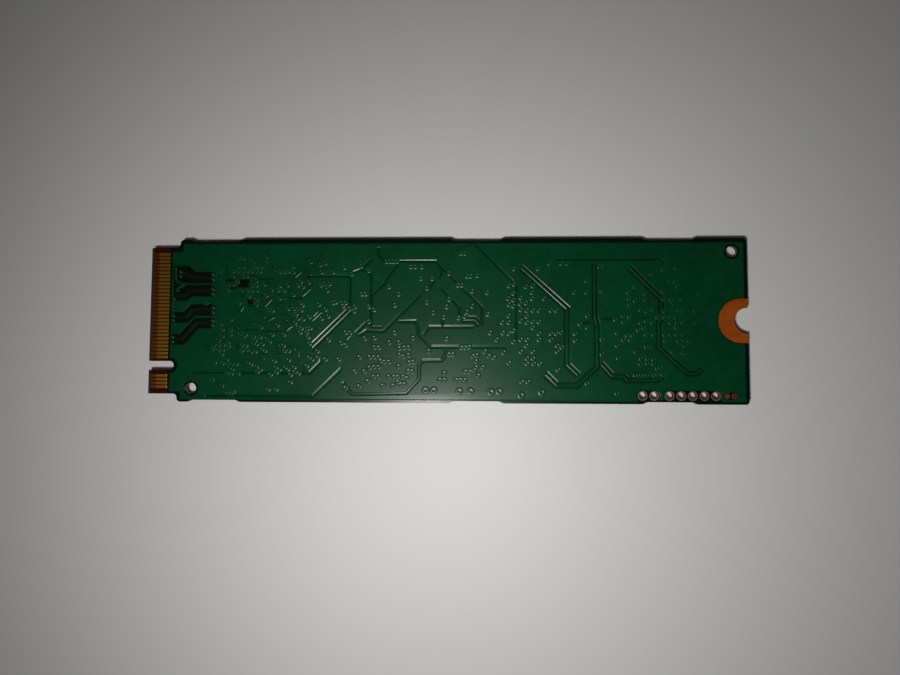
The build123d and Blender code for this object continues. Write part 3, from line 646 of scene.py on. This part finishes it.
shader = add(tarnish, "ShaderNodeBsdfPrincipled", {
    "Base Color": colour.outputs[2], "Metallic": 0.5, "Roughness": gloss.outputs[0],
})
add(tarnish, "ShaderNodeOutputMaterial", {"Surface": shader.outputs["BSDF"]})
dress(tarnish, "header_barrels")

# Stained copper: dull red, darker over the plugged hole.
stained = empty_material("red_stained_copper")
pads_low, pads_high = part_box("test_pads")
pad_radius = (pads_high.y - pads_low.y) / 2
place = add(stained, "ShaderNodeTexCoord").outputs["Object"]
from_plug = add(stained, "ShaderNodeVectorMath", {
    0: place, 1: (pads_high.x - pad_radius, pads_low.y + pad_radius, pads_high.z),
}, operation="SUBTRACT")
radius = add(stained, "ShaderNodeVectorMath", {0: from_plug.outputs[0]}, operation="LENGTH")
bare = add(stained, "ShaderNodeMapRange", {
    "Value": radius.outputs["Value"],
    "From Min": plug_radius * mm,
    "From Max": (plug_radius + plug_blur) * mm,
})
spots = add(stained, "ShaderNodeTexNoise", {"Vector": place, "Scale": 1 / (tarnish_spot * mm), "Detail": 3.0})
red = add(stained, "ShaderNodeMix", {
    0: spots.outputs["Fac"], 6: linear("642A20"), 7: linear("864434"),
}, data_type="RGBA")
colour = add(stained, "ShaderNodeMix", {
    0: bare.outputs[0], 6: linear("3E0E0A"), 7: red.outputs[2],
}, data_type="RGBA")
shader = add(stained, "ShaderNodeBsdfPrincipled", {
    "Base Color": colour.outputs[2], "Metallic": 0.6, "Roughness": 0.45,
})
add(stained, "ShaderNodeOutputMaterial", {"Surface": shader.outputs["BSDF"]})
dress(stained, "test_pads")

# Controller, memory and flash chips
# Packages on the hidden front: a thin green carrier, soldered to the board by a grid of balls, under a
# block of black moulded epoxy. A round mark is moulded beside the first ball's corner.
chip_names = ("controller", "dram", "nand_a", "nand_b")
mould_edge = 0.06
mark_radius = 0.4
mark_floor_radius = 0.32
mark_depth = 0.05
mark_inset = 1.1
mark_points = 24
ball_across = 0.5
ball_half_height = 0.14
ball_spacing = 1.0
ball_rows = 2
ball_sides = 10
ball_bands = 6


def grained(name, dark, light, grain, gloss, metallic=0.0, grain_height=0.001):
    """Material whose colour and gloss vary between two values over a fine grain, with a little relief."""
    material = empty_material(name)
    place = add(material, "ShaderNodeTexCoord").outputs["Object"]
    speck = add(material, "ShaderNodeTexNoise", {"Vector": place, "Scale": 1 / (grain * mm), "Detail": 3.0})
    tone = add(material, "ShaderNodeMapRange", {
        "Value": speck.outputs["Fac"], "From Min": 0.35, "From Max": 0.65,
    })
    colour = add(material, "ShaderNodeMix", {
        0: tone.outputs[0], 6: linear(dark), 7: linear(light),
    }, data_type="RGBA")
    sheen = add(material, "ShaderNodeMapRange", {
        "Value": tone.outputs[0], "To Min": gloss[0], "To Max": gloss[1],
    })
    relief = add(material, "ShaderNodeBump", {
        "Height": speck.outputs["Fac"], "Strength": 1.0, "Distance": grain_height * mm,
    })
    shader = add(material, "ShaderNodeBsdfPrincipled", {
        "Base Color": colour.outputs[2], "Metallic": metallic, "Roughness": sheen.outputs[0],
        "Normal": relief.outputs["Normal"],
    })
    add(material, "ShaderNodeOutputMaterial", {"Surface": shader.outputs["BSDF"]})
    return material


# Moulded epoxy: near black and matt with a fine sparkle-free grain from the blasted mould.
epoxy = grained("black_moulded_epoxy", "131315", "1D1D1F", 0.08, (0.5, 0.65), grain_height=0.003)
# Chip carrier: the same kind of laminate and mask as the board, duller because it is thin and sawn.
carrier = grained("green_chip_carrier", "123A26", "1A4A30", 0.3, (0.35, 0.5))
# Reflowed solder: bright grey metal, slightly frosted.
solder = grained("reflowed_solder", "A9AAAD", "C2C3C6", 0.12, (0.25, 0.4), metallic=1.0)


def finish_block(name, block, material, node):
    """Turn a mesh under construction, in millimetres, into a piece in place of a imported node."""
    bmesh.ops.recalc_face_normals(block, faces=block.faces)
    bmesh.ops.scale(block, vec=(mm, mm, mm), verts=block.verts)
    block.verts.index_update()
    points = [corner.co[:] for corner in block.verts]
    faces = [[corner.index for corner in face.verts] for face in block.faces]
    block.free()
    piece = new_piece(name, points, faces, material)
    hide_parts(node)
    return piece


def moulded_block(node):
    """Moulded body with chamfered lower edges and a round mark by one corner of its lower face."""
    low, high = (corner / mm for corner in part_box(node))
    block = bmesh.new()
    rings = []
    for inset, z in ((0.0, high.z), (0.0, low.z + mould_edge), (mould_edge, low.z)):
        left, right = low.x + inset, high.x - inset
        near, far = low.y + inset, high.y - inset
        corners = ((left, near), (right, near), (right, far), (left, far))
        rings.append([block.verts.new((x, y, z)) for x, y in corners])
    for radius, z in ((mark_radius, low.z), (mark_floor_radius, low.z + mark_depth)):
        turns = [2 * pi * place / mark_points for place in range(mark_points)]
        middle_x, middle_y = low.x + mark_inset, high.y - mark_inset
        rings.append([
            block.verts.new((middle_x + radius * cos(turn), middle_y + radius * sin(turn), z))
            for turn in turns
        ])
    for upper, lower in ((rings[0], rings[1]), (rings[1], rings[2]), (rings[3], rings[4])):
        for place in range(len(upper)):
            block.faces.new((upper[place - 1], upper[place], lower[place], lower[place - 1]))
    block.faces.new(rings[0])
    block.faces.new(rings[4])
    rims = [
        block.edges.get((ring[place - 1], ring[place])) for ring in rings[2:4] for place in range(len(ring))
    ]
    bmesh.ops.triangle_fill(block, edges=rims, use_beauty=True)
    piece = finish_block(node + "_block", block, epoxy, node)
    piece.data.shade_flat()


def solder_balls(node):
    """Outer rows of a chip's balls, pressed flat where they meet the board and the carrier."""
    low, high = (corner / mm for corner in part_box(node))
    middle = (low + high) / 2
    counts = [round((high[axis] - low[axis] - ball_across) / ball_spacing) for axis in (0, 1)]
    steps = [(high[axis] - low[axis] - ball_across) / counts[axis] for axis in (0, 1)]
    block = bmesh.new()
    for column in range(counts[0] + 1):
        for row in range(counts[1] + 1):
            if min(column, counts[0] - column, row, counts[1] - row) < ball_rows:
                x = low.x + ball_across / 2 + column * steps[0]
                y = low.y + ball_across / 2 + row * steps[1]
                squash = Matrix.Diagonal((1, 1, 2 * ball_half_height / ball_across, 1))
                bmesh.ops.create_uvsphere(
                    block, u_segments=ball_sides, v_segments=ball_bands, radius=ball_across / 2,
                    matrix=Matrix.Translation((x, y, middle.z)) @ squash,
                )
    finish_block(node + "_round", block, solder, node)


for chip in chip_names:
    dress(carrier, chip + "_substrate")
    moulded_block(chip + "_mould")
    solder_balls(chip + "_balls")

# Power converter and inductors
# A small moulded converter on flat leads, and a column of pressed-powder inductors with tinned ends, all
# soldered to the hidden front.
inductor_edge = 0.12
lead_edge = 0.02
# Pressed metal powder: dark grey, matt and a little grainy.
ferrite = grained("pressed_metal_powder", "26272A", "35363A", 0.1, (0.55, 0.7), grain_height=0.004)
# Tin plating: pale grey metal with a satin gloss.
tin = grained("satin_tin_plating", "B4B3AF", "C9C8C4", 0.15, (0.28, 0.42), metallic=1.0)
moulded_block("power_controller_body")
dress(tin, "power_controller_leads", "inductor_terminals")
dress(ferrite, "inductor_bodies")
soften(inductor_edge, "inductor_bodies")
soften(lead_edge, "power_controller_leads", "inductor_terminals")

# Chip capacitors and resistors
# Small ceramic blocks with tinned caps at both ends, soldered in rows beside the chips. The resistors are
# glazed black.
cap_edge = 0.05
body_edge = 0.03
capacitor_kinds = ("bulk_capacitor", "coupling_capacitor", "decoupling_capacitor")
# Capacitor ceramic: fired tan, smooth and faintly mottled.
capacitor_ceramic = grained("tan_capacitor_ceramic", "6E4C2C", "84603A", 0.2, (0.35, 0.5))
# Resistor glaze: black glass over white ceramic.
resistor_glaze = grained("black_resistor_glaze", "101012", "18181B", 0.2, (0.2, 0.35))
for kind in capacitor_kinds:
    dress(capacitor_ceramic, kind + "_bodies")
dress(resistor_glaze, "resistor_bodies")
for kind in capacitor_kinds + ("resistor",):
    dress(tin, kind + "_terminals")
    soften(body_edge, kind + "_bodies")
    soften(cap_edge, kind + "_terminals")

# Crystal
# A fired ceramic tray under a welded metal lid, soldered beside the controller, whose clock it sets.
lid_edge = 0.06
# Fired ceramic: dark brown and dull.
tray_ceramic = grained("brown_fired_ceramic", "3A2C22", "4A3A2E", 0.15, (0.5, 0.65))
# Lid plating: warm pale metal with fine brushing.
lid_metal = grained("plated_crystal_lid", "B2AA98", "C4BCA9", 0.06, (0.25, 0.38), metallic=1.0)
dress(tray_ceramic, "crystal_base")
dress(lid_metal, "crystal_lid")
soften(body_edge, "crystal_base")
soften(lid_edge, "crystal_lid")

# Floor
# A plain pale table top under the card.
floor_size = 1200.0
floor_mesh = bpy.data.meshes.new("floor")
half_floor = floor_size / 2 * mm
floor_mesh.from_pydata(
    [(x * half_floor, y * half_floor, 0.0) for x, y in ((-1, -1), (1, -1), (1, 1), (-1, 1))],
    [], [(0, 1, 2, 3)],
)
floor = bpy.data.objects.new("floor", floor_mesh)
bpy.context.scene.collection.objects.link(floor)
paint = empty_material("pale_table_paint")
shader = add(paint, "ShaderNodeBsdfPrincipled", {"Base Color": linear("CDCCCA"), "Roughness": 0.6})
add(paint, "ShaderNodeOutputMaterial", {"Surface": shader.outputs["BSDF"]})
floor_mesh.materials.append(paint)

# Light
# One soft lamp close to the camera, and a dim room that is paler low down than overhead.
lamp_place = (-9.7, -29.5, 112.0)
lamp_aim = (4.0, -15.0, 0.0)
lamp_diameter = 14.0
lamp_spread = 101.0
lamp_power = 0.0364
room_low = 0.22
room_high = 0.02
room_fade = 0.6
world = bpy.data.worlds.new("room")
bpy.context.scene.world = world
world.use_nodes = True
world.node_tree.nodes.clear()
direction = add(world, "ShaderNodeTexCoord").outputs["Generated"]
axes = add(world, "ShaderNodeSeparateXYZ", {"Vector": direction})
level = add(world, "ShaderNodeMapRange", {
    "Value": axes.outputs["Z"], "From Max": room_fade, "To Min": room_low, "To Max": room_high,
})
room = add(world, "ShaderNodeBackground", {"Color": linear("FFFFFF"), "Strength": level.outputs[0]})
add(world, "ShaderNodeOutputWorld", {"Surface": room.outputs["Background"]})
lamp_data = bpy.data.lights.new("lamp", "AREA")
lamp_data.shape = "DISK"
lamp_data.size = lamp_diameter * mm
lamp_data.spread = radians(lamp_spread)
lamp_data.energy = lamp_power
lamp = bpy.data.objects.new("lamp", lamp_data)
lamp.location = Vector(lamp_place) * mm
lamp.rotation_euler = (Vector(lamp_aim) - Vector(lamp_place)).to_track_quat("-Z", "Y").to_euler()
lamp.visible_camera = False
bpy.context.scene.collection.objects.link(lamp)

# Camera
# Held almost straight above the card, a little nearer to its lower edge.
camera_place = (4.53, -8.06, 95.17)
camera_aim = (0.84, -2.28, 2.1)
camera_roll = 0.26
camera_lens = 28.0
camera_sensor = 36.0
camera_nearest = 1.0
camera_data = bpy.data.cameras.new("camera")
camera_data.lens = camera_lens
camera_data.sensor_width = camera_sensor
camera_data.clip_start = camera_nearest * mm
camera = bpy.data.objects.new("camera", camera_data)
looking = (Vector(camera_aim) - Vector(camera_place)).normalized()
rightward = looking.cross(Vector((0, 1, 0))).normalized()
upright = rightward.cross(looking)
turn = Matrix((rightward, upright, -looking)).transposed() @ Matrix.Rotation(radians(camera_roll), 3, "Z")
camera.matrix_world = Matrix.Translation(Vector(camera_place) * mm) @ turn.to_4x4()
bpy.context.scene.collection.objects.link(camera)
bpy.context.scene.camera = camera
bpy.context.scene.view_settings.view_transform = "Standard"
